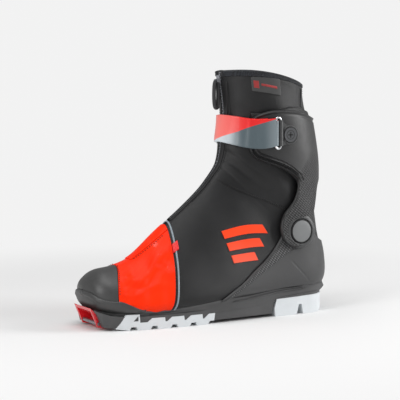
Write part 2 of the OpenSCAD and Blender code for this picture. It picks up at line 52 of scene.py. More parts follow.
toRow = np.array([286.0, 0.0, 6.5])  # the toe bar, seen from the heel and the ground, in mm
print("frame loaded")

# the last, one smooth form that every layer of the boot lies on, in stations from toe to collar:
# front end x, z, back end x, z, half width outer, inner, sag, squareness
last = np.array([
    [298, 40.5, 298, 39.5, 0.5, 0.5, 0, 2],
    [295.5, 48, 295, 30, 15, 18, 0, 2.2],
    [291, 54.5, 290, 22, 26, 29, 0.1, 2.6],
    [280, 60.5, 278, 18, 35, 39, 0.2, 3],
    [259, 64, 256, 16, 42, 46, 0.35, 4],
    [237, 73, 228, 14.5, 46, 49, 0.4, 4],
    [209, 97, 195, 14.5, 47, 47, 0.45, 4],
    [180, 120, 158, 15.5, 45, 41, 0.45, 4.5],
    [157, 140, 118, 17.5, 41, 37, 0.35, 5],
    [143, 156, 75, 20.8, 37, 34, 0.25, 5],
    [136, 166, 30, 23, 34.5, 33, 0.15, 4],
    [133, 174, 5, 34, 33.5, 33, 0.08, 2.6],
    [131, 184, 2.5, 58, 34, 34, 0.04, 2.2],
    [130, 196, 9, 88, 35, 35, 0, 2],
    [128, 208, 14, 125, 36, 36, 0, 2],
    [127, 222, 15, 165, 37, 37, 0, 2],
    [128, 236, 22, 205, 38, 38, 0, 2],
    [130, 250, 29, 230, 38, 38, 0, 2],
    [132, 266, 31, 252, 38, 38, 0, 2],
], float)

# the soft collar stands up beyond the stations, most at its sides, and the toe is drawn in
collarRise = {"front": 2.4, "rear": 0.4, "sides": 6.6}
toeTuck = 2.4


def station(u):
    u = np.clip(np.asarray(u, float), 0, len(last) - 1)
    i = np.minimum(np.floor(u).astype(int), len(last) - 2)
    t = (u - i)[..., None]
    p, q, r, s = (last[np.clip(i + k, 0, len(last) - 1)] for k in (-1, 0, 1, 2))
    return (2 * q + (r - p) * t + (2 * p - 5 * q + 4 * r - s) * t ** 2 + (3 * q - p - 3 * r + s) * t ** 3) / 2


def foot(u, a):
    row, rad = station(u), np.radians(a)
    c, s = np.cos(rad), np.sin(rad)
    reach = np.where(s >= 0, row[..., 4], row[..., 5])
    square = row[..., 7]
    under = np.clip(1 - np.clip(-c, 0, 1) ** square, 0, 1) ** (1 / square)
    fullness = np.where(c >= 0, np.abs(s), under)
    y = np.sign(s) * reach * fullness * (1 - row[..., 6] * c) / (1 + 0.45 * row[..., 6])
    t = (1 - c) / 2
    x, z = mix(row[..., 0], row[..., 2], t), mix(row[..., 1], row[..., 3], t)
    rise = mix(collarRise["front"], collarRise["rear"], t) + collarRise["sides"] * s ** 2
    return np.stack([x - toeTuck * ramp(x, 262, 300), y, z + rise * np.clip((z - 225) / 41, 0, 1)], -1)


def outward(u, a):
    u = np.asarray(u, float)
    upward = foot(np.minimum(u + 0.02, 18), a) - foot(np.maximum(u - 0.02, 0), a)
    n = np.cross(foot(u, a + 1.0) - foot(u, a - 1.0), upward)
    return n / np.linalg.norm(n, axis=-1, keepdims=True)


def skin(u, a, lift=0.0):
    u, a = np.broadcast_arrays(np.asarray(u, float), np.asarray(a, float))
    return foot(u, a) + outward(u, a) * np.asarray(lift, float)[..., None]


def share(a):
    return (1 - np.cos(np.radians(a))) / 2


def mix(p, q, t):
    return p + (q - p) * t


def ramp(x, p, q):
    t = np.clip((np.asarray(x, float) - p) / (q - p), 0, 1)
    return t * t * (3 - 2 * t)


def hump(x, centre, width):
    return np.exp(-((x - centre) / width) ** 2)


def sideName(side):
    return "outer" if side > 0 else "inner"


# where the seams and edges run, as a station for each angle round the foot
def toeSeam(a): return 3.35 + 0.68 * (1 - share(a)) ** 3
def bandFront(a): return 5.38 + 0.92 * (1 - share(a))
def hemLow(a): return 17.5 + 0.2 * share(a)
def strapU(s, a): return mix(12.6 + 5 * share(a), 14.9 + 2.2 * share(a), s)
def strapRise(a): return mix(1, 6.9, ramp(np.abs(a), 32, 49))


tableU, tableA = np.meshgrid(np.linspace(0.5, 18, 211), np.linspace(2, 178, 177), indexing="ij")
tableP = foot(tableU, tableA)


def onSide(points, lift=0.0):  # stations and angles of points that are given in the side view
    points = np.atleast_2d(np.asarray(points, float))
    found = []
    for x, z in points:
        k = np.unravel_index(np.argmin((tableP[..., 0] - x) ** 2 + (tableP[..., 2] - z) ** 2), tableU.shape)
        u, a = tableU[k], tableA[k]
        for _ in range(6):
            p = skin(u, a, lift)
            du, da = (skin(u + 0.01, a, lift) - p) / 0.01, (skin(u, a + 0.5, lift) - p) / 0.5
            grid = np.array([[du[0], da[0]], [du[2], da[2]]])
            if abs(np.linalg.det(grid)) < 1e-3:
                break
            step = np.linalg.solve(grid, [x - p[0], z - p[2]])
            u = float(np.clip(u + np.clip(step[0], -0.4, 0.4), 0.2, 18))
            a = float(np.clip(a + np.clip(step[1], -8, 8), 1, 179))
        found.append((u, a))
    return np.array(found)


def newMesh(name, points, faces, lay=None, smooth=40):
    mesh = bpy.data.meshes.new(name)
    points = ((np.asarray(points, float) - toRow) * mm).tolist()
    mesh.from_pydata(points, [], [list(map(int, f)) for f in faces])
    mesh.update()
    mesh.shade_smooth()
    mesh.set_sharp_from_angle(angle=math.radians(smooth))
    if lay is not None:
        where = mesh.attributes.new("lay", "FLOAT_VECTOR", "POINT")
        where.data.foreach_set("vector", np.asarray(lay, np.float32).ravel())
    made = bpy.data.objects.new(name, mesh)
    bpy.context.scene.collection.objects.link(made)
    return made


def lengths(points, axis):
    step = np.linalg.norm(np.diff(points, axis=axis), axis=-1)
    start = np.zeros_like(np.take(step, [0], axis))
    return np.concatenate([start, np.cumsum(step, axis)], axis)


def fineEdges(count, size, roll):
    even = np.linspace(0, 1, count + 1)
    if roll <= 0:
        return even
    near = np.array([0.12, 0.35, 0.65, 1.0]) * min(roll / size, 0.2)
    return np.unique(np.round(np.concatenate([even, near, 1 - near]), 5))


def evaluated(value, u, a):
    return value(u, a) if callable(value) else np.full(np.shape(u), float(value))


# a sheet on the last: at(s, t) gives its stations and angles, low and high its two faces
def panel(name, at, rows, cols, low, high, roll=0.6, size=(60, 120), relief=None, mark=None):
    sLine, tLine = fineEdges(rows, size[0], roll), fineEdges(cols, size[1], roll)
    s, t = np.meshgrid(sLine, tLine, indexing="ij")
    u, a = at(s, t)
    base, out = foot(u, a), outward(u, a)
    down, across = lengths(base, 0), lengths(base, 1)
    edge = np.minimum(np.minimum(down, down[-1:] - down), np.minimum(across, across[:, -1:] - across))
    under, top = evaluated(low, u, a), evaluated(high, u, a)
    if relief is not None:
        top = top + relief(u, a, edge)
    if roll > 0:
        k = np.clip(edge / roll, 0, 1)
        top = under + (top - under) * np.sqrt(np.clip(1 - (1 - k) ** 2, 0, 1) * 0.98 + 0.02)
    mid = across - across[:, [len(tLine) // 2]]
    lay = np.stack([mid, down, edge], -1).reshape(-1, 3)
    if mark is not None:
        lay = np.stack([*mark(base, s), edge], -1).reshape(-1, 3)
    n, w, h = u.size, len(tLine), len(sLine)
    points = np.concatenate([(base + out * d[..., None]).reshape(-1, 3) for d in (top, under)])
    i, j = np.meshgrid(np.arange(h - 1), np.arange(w - 1), indexing="ij")
    k = (i * w + j).ravel()
    faces = np.stack([k, k + w, k + w + 1, k + 1], 1)
    rim = np.concatenate([np.arange(w), np.arange(1, h) * w + w - 1, (h - 1) * w + np.arange(w - 2, -1, -1),
                          np.arange(h - 2, 0, -1) * w])
    nxt = np.roll(rim, -1)
    sides = np.stack([rim, nxt, nxt + n, rim + n], 1)
    faces = np.concatenate([faces, faces[:, ::-1] + n, sides])
    return newMesh(name, points, faces, np.concatenate([lay, lay]), 55)


def insideOf(outline, points):  # how far inside a closed outline, and its nearest point
    p, q = outline, np.roll(outline, -1, 0)
    d = q - p
    rel = points[:, None, :] - p[None]
    t = np.clip((rel * d).sum(-1) / (d * d).sum(-1), 0, 1)
    near = p + t[..., None] * d
    gap = np.linalg.norm(points[:, None, :] - near, axis=-1)
    k = gap.argmin(1)
    rows = np.arange(len(points))
    x, z = points[:, 0:1], points[:, 1:2]
    rise = np.where(d[:, 1] == 0, 1e-9, d[:, 1])
    crosses = ((p[:, 1] > z) != (q[:, 1] > z)) & (x < d[:, 0] * (z - p[:, 1]) / rise + p[:, 0])
    return np.where(crosses.sum(1) % 2 == 1, 1, -1) * gap[rows, k], near[rows, k]


def rounded(points, times=2):  # cuts the corners of an outline
    points = np.asarray(points, float)
    for _ in range(times):
        nxt = np.roll(points, -1, 0)
        points = np.stack([0.75 * points + 0.25 * nxt, 0.25 * points + 0.75 * nxt], 1).reshape(-1, 2)
    return points


# a sheet on the last that ends at an outline of the side view
def trimmed(name, uSpan, aSpan, rows, cols, outline, low, high, roll=1.2, relief=None):
    outline = np.asarray(outline, float)
    u, a = np.meshgrid(np.linspace(*uSpan, rows + 1), np.linspace(*aSpan, cols + 1), indexing="ij")
    shape = u.shape
    u, a = u.ravel(), a.ravel()
    mid = (evaluated(low, u, a) + evaluated(high, u, a)) / 2
    p = skin(u, a, mid)
    inside, _ = insideOf(outline, p[:, [0, 2]])
    index = np.arange(u.size).reshape(shape)
    quads = np.stack([index[:-1, :-1], index[1:, :-1], index[1:, 1:], index[:-1, 1:]], -1).reshape(-1, 4)
    quads = quads[inside[quads].mean(1) > 0]
    edges = {}
    for f in quads:
        for e in range(4):
            edges[(f[e], f[(e + 1) % 4])] = True
    border = [e for e in edges if (e[1], e[0]) not in edges]
    rim = np.unique(np.array(border).ravel())
    movable = rim[np.abs(inside[rim]) < 3]
    for _ in range(4):  # slide the border's points along the surface onto the outline
        ru, ra, rl = u[movable], a[movable], mid[movable]
        here = skin(ru, ra, rl)
        du, da = (skin(ru + 0.01, ra, rl) - here) / 0.01, (skin(ru, ra + 0.5, rl) - here) / 0.5
        goal = insideOf(outline, here[:, [0, 2]])[1] - here[:, [0, 2]]
        det = du[:, 0] * da[:, 2] - da[:, 0] * du[:, 2]
        good = np.abs(det) > 0.5
        det = np.where(good, det, 1)
        su = np.where(good, (goal[:, 0] * da[:, 2] - goal[:, 1] * da[:, 0]) / det, 0)
        sa = np.where(good, (goal[:, 1] * du[:, 0] - goal[:, 0] * du[:, 2]) / det, 0)
        u[movable] += np.clip(su, -0.06, 0.06)
        a[movable] += np.clip(sa, -1.5, 1.5)
    base, out = foot(u, a), outward(u, a)
    p = skin(u, a, mid)
    edge = np.abs(insideOf(outline, p[:, [0, 2]])[0])
    edge[rim] = 0
    under, top = evaluated(low, u, a), evaluated(high, u, a)
    if relief is not None:
        top = top + relief(u, a, edge, p)
    k = np.clip(edge / roll, 0, 1)
    top = under + (top - under) * np.sqrt(np.clip(1 - (1 - k) ** 2, 0, 1) * 0.85 + 0.15)
    used = np.unique(quads)
    order = np.full(u.size, -1)
    order[used] = np.arange(len(used))
    n = len(used)
    points = np.concatenate([(base + out * top[:, None])[used], (base + out * under[:, None])[used]])
    quads = order[quads]
    sides = np.array([[order[p1], order[p0], order[p0] + n, order[p1] + n] for p0, p1 in border])
    lay = np.stack([p[:, 0], p[:, 2], edge], -1)[used]
    faces = np.concatenate([quads, quads[:, ::-1] + n, sides])
    return newMesh(name, points, faces, np.concatenate([lay, lay]), 55)


def along(points, step):
    points = np.asarray(points, float)
    run = lengths(points, 0)
    count = max(2, int(run[-1] / step) + 1)
    want = np.linspace(0, run[-1], count)
    return np.stack([np.interp(want, run, points[:, k]) for k in range(3)], 1)


def bead(name, points, radius, sides=10, flat=1.0, up=None):
    points = np.asarray(points, float)
    tangent = np.gradient(points, axis=0)
    tangent /= np.linalg.norm(tangent, axis=1, keepdims=True)
    up = np.broadcast_to(np.asarray([0, 0, 1.0] if up is None else up, float), points.shape)
    right = np.cross(tangent, up)
    right /= np.linalg.norm(right, axis=1, keepdims=True)
    up = np.cross(right, tangent)
    size = np.full(len(points), float(radius)) if np.isscalar(radius) else np.asarray(radius, float)
    ends = np.ones(len(points))
    ends[[0, -1]] = 0.05
    ends[[1, -2]] = 0.7
    size = size * ends
    turn = np.linspace(0, 2 * np.pi, sides, endpoint=False)
    ring = right[:, None] * np.cos(turn)[None, :, None] + flat * up[:, None] * np.sin(turn)[None, :, None]
    verts = (points[:, None] + ring * size[:, None, None]).reshape(-1, 3)
    i, j = np.meshgrid(np.arange(len(points) - 1), np.arange(sides), indexing="ij")
    k, m = (i * sides + j).ravel(), (i * sides + (j + 1) % sides).ravel()
    faces = np.stack([k, m, m + sides, k + sides], 1).tolist()
    faces += [list(range(sides))[::-1], list(range(len(points) * sides - sides, len(points) * sides))]
    run = np.repeat(lengths(points, 0), sides)
    lay = np.stack([run, np.tile(turn, len(points)), np.zeros_like(run)], 1)
    return newMesh(name, verts, faces, lay, 60)


def beadOn(name, u, a, lift, radius, step=1.2, **how):
    u, a = np.asarray(u, float), np.asarray(a, float)
    fine = np.linspace(0, 1, 12 * len(u))
    knots = np.linspace(0, 1, len(u))
    fu, fa = smoothThrough(knots, u, fine), smoothThrough(knots, a, fine)
    p, n = skin(fu, fa, lift), outward(fu, fa)
    points = along(p, step)
    run, at = lengths(p, 0), lengths(points, 0)
    up = np.stack([np.interp(at, run, n[:, k]) for k in range(3)], 1)
    return bead(name, points, radius, up=up, **how)


def smoothThrough(knots, values, want):
    values = np.asarray(values, float)
    slope = np.gradient(values, knots)
    i = np.clip(np.searchsorted(knots, want) - 1, 0, len(knots) - 2)
    h = knots[i + 1] - knots[i]
    t = (want - knots[i]) / h
    return ((2 * t ** 3 - 3 * t ** 2 + 1) * values[i] + (t ** 3 - 2 * t ** 2 + t) * h * slope[i]
            + (3 * t ** 2 - 2 * t ** 3) * values[i + 1] + (t ** 3 - t ** 2) * h * slope[i + 1])


# rows of separate stitches that dip into the cloth at both ends
def stitched(name, runs, lift=0.15, pitch=2.6, thread=0.4, dash=0.72):
    points, faces = [], []
    turn = np.linspace(0, 2 * np.pi, 6, endpoint=False)
    for u, a in runs:
        knots = np.linspace(0, 1, len(u))
        fine = np.linspace(0, 1, 14 * len(u))
        fu, fa = smoothThrough(knots, u, fine), smoothThrough(knots, a, fine)
        height = lift(fu, fa) if callable(lift) else np.full(len(fu), float(lift))
        line, n = skin(fu, fa, height), outward(fu, fa)
        run = lengths(line, 0)
        for k in range(int(run[-1] / pitch)):
            at = (k + 0.5) * pitch + np.array([-0.5, -0.36, 0, 0.36, 0.5]) * pitch * dash
            if at[0] < 0 or at[-1] > run[-1]:
                continue
            p = np.stack([np.interp(at, run, line[:, m]) for m in range(3)], 1)
            up = np.array([np.interp(at[2], run, n[:, m]) for m in range(3)])
            side = np.cross(p[-1] - p[0], up)
            side /= np.linalg.norm(side)
            size = thread * np.array([0.35, 0.95, 1, 0.95, 0.35])
            sink = np.array([-0.5, 0, 0.12, 0, -0.5]) * thread * 1.2
            start = len(points)
            for q in range(5):
                centre = p[q] + up * sink[q]
                points += [centre + size[q] * (side * math.cos(w) + up * math.sin(w)) for w in turn]
            for q in range(4):
                for w in range(6):
                    here, nxt = start + q * 6 + w, start + q * 6 + (w + 1) % 6
                    faces.append([here, nxt, nxt + 6, here + 6])
            faces += [[start + w for w in range(5, -1, -1)], [start + 24 + w for w in range(6)]]
    return newMesh(name, points, faces, np.zeros((len(points), 3)), 80)


# a socket in a material, with the operators that the shader expressions use
class Field:
    def __init__(self, paint, socket):
        self.paint, self.socket = paint, socket

    def math(self, operation, *others):
        inputs = {k: v for k, v in enumerate((self,) + others)}
        return self.paint.node("Math", {"operation": operation}, inputs)

    def __add__(self, other): return self.math("ADD", other)
    def __radd__(self, other): return self.math("ADD", other)
    def __sub__(self, other): return self.math("SUBTRACT", other)
    def __rsub__(self, other): return self.paint.node("Math", {"operation": "SUBTRACT"},
                                                      {0: other, 1: self})
    def __mul__(self, other): return self.math("MULTIPLY", other)
    def __rmul__(self, other): return self.math("MULTIPLY", other)
    def __truediv__(self, other): return self.math("DIVIDE", other)
    def sine(self): return self.math("SINE")
    def size(self): return self.math("ABSOLUTE")
    def least(self, other): return self.math("MINIMUM", other)

    def step(self, low, high, p=0.0, q=1.0):
        inputs = {0: self, 1: low, 2: high, 3: p, 4: q}
        return self.paint.node("MapRange", {"interpolation_type": "SMOOTHSTEP"}, inputs)


class Paint:
    def __init__(self, name, **fixed):
        self.material = bpy.data.materials.new(name)
        self.material.use_nodes = True
        self.tree = self.material.node_tree
        self.shader = self.tree.nodes["Principled BSDF"]
        for key, value in fixed.items():
            self.shader.inputs[key.replace("_", " ")].default_value = value

    def node(self, kind, settings=None, inputs=None, out=0):
        made = self.tree.nodes.new("ShaderNode" + kind)
        for key, value in (settings or {}).items():
            setattr(made, key, value)
        for key, value in (inputs or {}).items():
            self.feed(made.inputs[key], value)
        return Field(self, made.outputs[out])

    def feed(self, socket, value):
        if isinstance(value, Field):
            self.tree.links.new(value.socket, socket)
        else:
            socket.default_value = value

    def set(self, **values):
        for key, value in values.items():
            self.feed(self.shader.inputs[key.replace("_", " ")], value)
        return self

    def blend(self, amount, p, q):
        p, q = (tuple(c) + (1.0,) if isinstance(c, tuple) and len(c) == 3 else c for c in (p, q))
        return self.node("Mix", {"data_type": "RGBA"}, {0: amount, 6: p, 7: q}, out=2)

    def place(self):
        return self.node("TexCoord", out=3)

    def axes(self, vector):
        made = self.tree.nodes.new("ShaderNodeSeparateXYZ")
        self.feed(made.inputs[0], vector)
        return [Field(self, made.outputs[k]) for k in range(3)]

    def lay(self):
        return self.axes(self.node("Attribute", {"attribute_name": "lay"}, out=1))

    def noise(self, scale, detail=2.0, rough=0.5, at=None):
        inputs = {"Vector": at or self.place(), "Scale": scale, "Detail": detail, "Roughness": rough}
        return self.node("TexNoise", {}, inputs)

    def cells(self, scale):
        return self.node("TexVoronoi", {}, {"Vector": self.place(), "Scale": scale})

    def bump(self, height, distance, strength=1.0, normal=None):
        inputs = {"Height": height, "Distance": distance * mm, "Strength": strength}
        if normal is not None:
            inputs["Normal"] = normal
        return self.node("Bump", {}, inputs)

    def softEdges(self, radius):
        return self.node("Bevel", {"samples": 6}, {"Radius": radius * mm})


def textile(name, look):
    paint = Paint(name, Sheen_Weight=look["sheen"], Sheen_Roughness=0.45,
                  Specular_IOR_Level=look.get("specular", 0.4))
    x, y, z = paint.axes(paint.place())
    k = 2 * math.pi / (look["pitch"] * mm)
    weave = ((x + z) * k).sine() * ((x - z + y) * k).sine()
    cloud, grain = paint.noise(26, 3), paint.noise(1500, 2)
    dark, pale = look["colour"], tuple(c * look["spread"] for c in look["colour"])
    tone = (cloud.step(0.35, 0.7) * 0.45 + grain * 0.35 + weave * look.get("contrast", 0.12)).step(0.1, 0.9)
    paint.set(Base_Color=paint.blend(tone, dark, pale), Roughness=cloud * 0.12 + look["rough"] - 0.06)
    height = weave * 0.6 + grain * 0.8
    return paint.set(Normal=paint.bump(height, look["bump"], 0.55))


def moulded(name, look):
    paint = Paint(name, Specular_IOR_Level=0.5, Coat_Roughness=0.25)
    cloud, grain, scuff = paint.noise(20, 3), paint.noise(look.get("grain", 900), 2), paint.noise(90, 5, 0.65)
    dark, pale = look["colour"], tuple(c * look["spread"] for c in look["colour"])
    paint.set(Base_Color=paint.blend((cloud * 0.7 + scuff * 0.4).step(0.3, 0.85), dark, pale),
              Roughness=scuff.step(0.45, 0.75) * 0.12 + look["rough"],
              Coat_Weight=scuff * 0.1 + look.get("coat", 0.0))
    edges = paint.softEdges(look["edge"]) if look.get("edge") else None
    paint.height = grain * 0.6
    return paint.set(Normal=paint.bump(grain, look["bump"], 0.5, edges))


finishes = {}

softshellLook = {"colour": (0.009, 0.009, 0.0095), "spread": 1.5, "pitch": 0.9, "bump": 0.10,
                 "rough": 0.41, "sheen": 0.0, "specular": 0.34}
liningLook = {"colour": (0.06, 0.062, 0.068), "spread": 1.6, "pitch": 2.2, "bump": 0.35, "rough": 0.85,
              "sheen": 0.35}
meshLook = {"colour": (0.006, 0.007, 0.009), "spread": 3.4, "pitch": 2.6, "bump": 0.9, "rough": 0.7,
            "sheen": 0.05, "contrast": 0.6}
tapeLook = {"colour": (0.02, 0.02, 0.022), "spread": 1.5, "pitch": 0.6, "bump": 0.12, "rough": 0.7,
            "sheen": 0.15}
cordLook = {"colour": (0.42, 0.43, 0.45), "spread": 1.3, "pitch": 0.8, "bump": 0.2, "rough": 0.75,
            "sheen": 0.2}
boardLook = {"colour": (0.42, 0.30, 0.17), "spread": 1.3, "pitch": 1.4, "bump": 0.1, "rough": 0.8,
             "sheen": 0.0}
# near-black thread, darkened beyond the cloth as painted shade along the seams; the same finish is the painted
# shade in the grooves, gap and recess marks on the cuff
darkThreadAndShadeLook = {"colour": (0.003, 0.003, 0.0035), "spread": 1.6, "pitch": 0.4, "bump": 0.08, "rough": 0.6,
              "sheen": 0.1}
soleLook = {"colour": (0.052, 0.052, 0.053), "spread": 1.5, "rough": 0.5, "bump": 0.06, "edge": 0.5,
            "grain": 1100}
treadLook = {"colour": (0.66, 0.69, 0.71), "spread": 1.08, "rough": 0.36, "bump": 0.03, "edge": 0.45,
             "coat": 0.1}
insertLook = {"colour": (0.62, 0.012, 0.02), "spread": 1.25, "rough": 0.24, "bump": 0.03, "edge": 0.6,
              "coat": 0.5}
capLook = {"colour": (0.165, 0.17, 0.172), "spread": 1.15, "rough": 0.42, "bump": 0.05, "edge": 0.3}
shellLook = {"colour": (0.015, 0.015, 0.0155), "spread": 1.35, "rough": 0.46, "bump": 0.05, "grain": 1400}
tabLook = {"colour": (0.040, 0.041, 0.042), "spread": 1.35, "rough": 0.42, "bump": 0.04, "edge": 0.35}
toeLook = {"colour": (0.034, 0.034, 0.034), "spread": 1.4, "rough": 0.44, "bump": 0.05, "grain": 1300,
           "coat": 0.05}
screwLook = {"colour": (0.05, 0.052, 0.056), "spread": 1.3, "rough": 0.36, "bump": 0.03, "edge": 0.25}
ribLook = {"pitch": 2.3, "across": 3.6, "depth": 1.1}
vampLook = {"colour": (0.95, 0.032, 0.003), "deep": (0.86, 0.018, 0.001), "rough": 0.3}
# red and slate are the strap's two printed halves, blush is the paler front end of the red half, and
# paintedHighlight is a pale grey-blue painted highlight on the slate half
strapLook = {"red": (0.80, 0.012, 0.012), "blush": (0.93, 0.25, 0.22), "slate": (0.085, 0.115, 0.13),
             "paintedHighlight": (0.62, 0.68, 0.72)}

badgeLook = {"colour": (0.25, 0.02, 0.02), "spread": 1.8, "pitch": 0.7, "bump": 0.2, "rough": 0.6,
             "sheen": 0.2}

for name, look in {"badge": badgeLook, "softshell": softshellLook, "lining": liningLook,
                   "meshBand": meshLook, "tape": tapeLook, "cord": cordLook, "board": boardLook,
                   "thread": darkThreadAndShadeLook}.items():
    finishes[name] = textile(name, look)
for name, look in {"sole": soleLook, "tread": treadLook, "insert": insertLook, "cap": capLook,
                   "tab": tabLook, "toeFilm": toeLook, "screw": screwLook}.items():
    finishes[name] = moulded(name, look)


def ribbed(name, look, inRibs):
    paint = moulded(name, look)
    x, z, edge = paint.lay()
    along, across = x * 0.60 - z * 0.80, x * 0.80 + z * 0.60
    ridges = (along * (2 * math.pi / ribLook["pitch"])).sine()
    teeth = ridges + (across * (2 * math.pi / ribLook["across"])).sine() * 0.7
    mask = inRibs(x, z) * edge.step(1.6, 2.6)
    height = teeth.step(-0.9, 0.9) * mask
    first = paint.bump(height, ribLook["depth"], 0.9)
    scuff = paint.noise(90, 5, 0.65)
    plain = tuple(c * 1.15 for c in look["colour"])
    # painted shade in the rib grooves and painted highlight on the rib tops, set into the base colour
    shadedValley, litCrest = tuple(c * 0.35 for c in plain), tuple(c * 2.6 for c in plain)
    shade = paint.blend(mask, plain, paint.blend(teeth.step(-1.0, 1.0), shadedValley, litCrest))
    return paint.set(Normal=paint.bump(paint.height, look["bump"], 0.5, first), Base_Color=shade,
                     Roughness=scuff.step(0.45, 0.75) * 0.12 + look["rough"] + mask * 0.08)


finishes["cuffRibbed"] = ribbed("cuffRibbed", shellLook, lambda x, z: (x * 0.9 + z).step(212, 196))
# a paler copy of the shell colour for the heel counter, as painted light for its brighter lit side
litCounterLook = {**shellLook, "colour": (0.034, 0.034, 0.035)}
finishes["counterRibbed"] = ribbed("counterRibbed", litCounterLook,
                                   lambda x, z: ((x - 51) * 0.481 + (z - 77) * 0.876).step(-0.4, 0.6))


def glossyFilm():
    paint = Paint("vampFilm", Coat_Roughness=0.14, Specular_IOR_Level=0.1)
    run, down, edge = paint.lay()
    cloud, fine = paint.noise(34, 3), paint.noise(1300, 2)
    stripe = ((run * 0.9 + down * 0.5) * (2 * math.pi / 7.5)).sine().step(0.2, 0.95)
    stripe = stripe * (run.size() * -1.0).step(-70, -30)
    tone = (cloud.step(0.3, 0.75) * 0.45 + stripe * 0.28).least(1.0)
    paint.set(Base_Color=paint.blend(tone, vampLook["colour"], vampLook["deep"]),
              Coat_Weight=paint.noise(46, 2).step(0.55, 0.72) * 0.9,
              Roughness=cloud * 0.16 + vampLook["rough"])
    return paint.set(Normal=paint.bump(fine + cloud * 5.0, 0.12, 0.5))


stripeLook = {"upper": (0.95, 0.055, 0.008), "lower": (0.92, 0.13, 0.075), "rough": 0.35}


def sideFilm():
    paint = Paint("sideFilm", Coat_Roughness=0.3, Specular_IOR_Level=0.15)
    x, y, z = paint.axes(paint.place())
    cloud, grain = paint.noise(40, 3), paint.noise(1500, 2)
    tone = (z.step(0.09, 0.045) * 0.8 + cloud * 0.2).least(1.0)
    paint.set(Base_Color=paint.blend(tone, stripeLook["upper"], stripeLook["lower"]),
              Roughness=cloud * 0.15 + stripeLook["rough"])
    return paint.set(Normal=paint.bump(grain, 0.05, 0.5))


def splitStrap():
    paint = Paint("strapPrintAndHighlight", Coat_Roughness=0.2, Specular_IOR_Level=0.3)
    run, down, edge = paint.lay()
    cut = down - run * 0.96 - 0.02 - run * (1.0 - run) * 0.5
    upper = cut.step(-0.006, 0.006)
    # the warm half pales from red to blush towards the front end; the cool half is slate with a painted
    # highlight towards the front end, and a little paler again at the far end
    warm = paint.blend(run.step(-0.1, 0.62), strapLook["blush"], strapLook["red"])
    shade = run.step(0.1, 0.5) * (1.0 - run.step(0.8, 1.0) * 0.2)
    cool = paint.blend(shade, strapLook["paintedHighlight"], strapLook["slate"])
    webbing = (down * (2 * math.pi * 26)).sine() * 0.5 + (run * (2 * math.pi * 36)).sine() * 0.5
    paint.set(Base_Color=paint.blend(upper, cool, warm), Roughness=paint.noise(60, 3) * 0.15 + 0.26,
              Coat_Weight=paint.noise(20, 2) * 0.1 + 0.1)
    return paint.set(Normal=paint.bump(webbing * edge.step(1.0, 2.0), 0.08, 0.5))


def plainStrap():
    paint = Paint("strapRed", Coat_Roughness=0.2)
    run, down, edge = paint.lay()
    webbing = (down * (2 * math.pi / 1.1)).sine() * 0.5 + (run * (2 * math.pi / 1.6)).sine() * 0.5
    tone = paint.noise(30, 3).step(0.3, 0.7)
    paint.set(Base_Color=paint.blend(tone, strapLook["red"], tuple(c * 0.8 for c in strapLook["red"])),
              Roughness=tone * 0.12 + 0.4, Coat_Weight=tone * 0.2 + 0.1)
    return paint.set(Normal=paint.bump(webbing * edge.step(1.0, 2.0), 0.12, 0.6))


def metal(name, colour, rough, brushed=0.0):
    paint = Paint(name, Metallic=1.0)
    x, y, z = paint.axes(paint.place())
    drawn = paint.node("Mapping", {}, {"Vector": paint.place(), "Scale": (1.0, 0.05, 1.0)})
    lines = paint.noise(900, 3, at=drawn)
    smear = paint.noise(120, 4, 0.6)
    paint.set(Base_Color=paint.blend(smear.step(0.35, 0.7), colour, tuple(c * 0.85 for c in colour)),
              Roughness=smear * 0.12 + lines * brushed + rough)
    return paint.set(Normal=paint.bump(lines, 0.02, 0.4, paint.softEdges(0.25)))


def glassBead(name, colour):
    paint = Paint(name, Sheen_Weight=0.3, Specular_IOR_Level=0.7)
    run, turn, edge = paint.lay()
    beads = paint.cells(2600)
    paint.set(Base_Color=paint.blend(beads.step(0.1, 0.7), colour, tuple(c * 0.6 for c in colour)),
              Roughness=beads * 0.3 + 0.3)
    return paint.set(Normal=paint.bump(beads, 0.08, 0.5))


finishes["vampFilm"] = glossyFilm()
finishes["strapPrintAndHighlight"] = splitStrap()
finishes["strapRed"] = plainStrap()
finishes["sideFilm"] = sideFilm()
finishes["chrome"] = metal("chrome", (0.78, 0.79, 0.81), 0.06)
finishes["steel"] = metal("steel", (0.42, 0.43, 0.45), 0.28, 0.2)
finishes["zipMetal"] = metal("zipMetal", (0.36, 0.37, 0.4), 0.26, 0.1)
finishes["reflector"] = glassBead("reflector", (0.30, 0.37, 0.42))
print("finishes made")


def finish(made, look, body=None, nodes=()):
    made.data.materials.clear()
    made.data.materials.append(finishes[look].material)
    if body == "ankle":  # left unparented with its transform baked in, between the foot and the cuff
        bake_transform(made)
    else:
        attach(made, body)
    if nodes:
        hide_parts(*nodes)
    return made


def rowPoint(x, y, z):
    return tuple((np.array([x, y, z]) - toRow) * mm)


for node, look in {"outsole": "sole", "toe_insert": "insert", "toe_bar": "steel", "front_tread": "tread",
                   "heel_tread": "tread", "pivot_caps": "cap", "pivot_studs": "tab", "lasting_board": "board",
                   "footbed": "lining", "tongue": "tape", "laces": "cord", "lace_loops": "tape",
                   "ring_tab": "tab", "tab_screw": "screw", "strap_rivet": "screw",
                   "strap_ring": "chrome", "zip_slider": "zipMetal"}.items():
    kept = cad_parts[node]
    kept.data.materials.clear()
    kept.data.materials.append(finishes[look].material)


# the soft upper: panels, creases and folds on the last
upper = {"thick": 1.8, "front": 6.0}


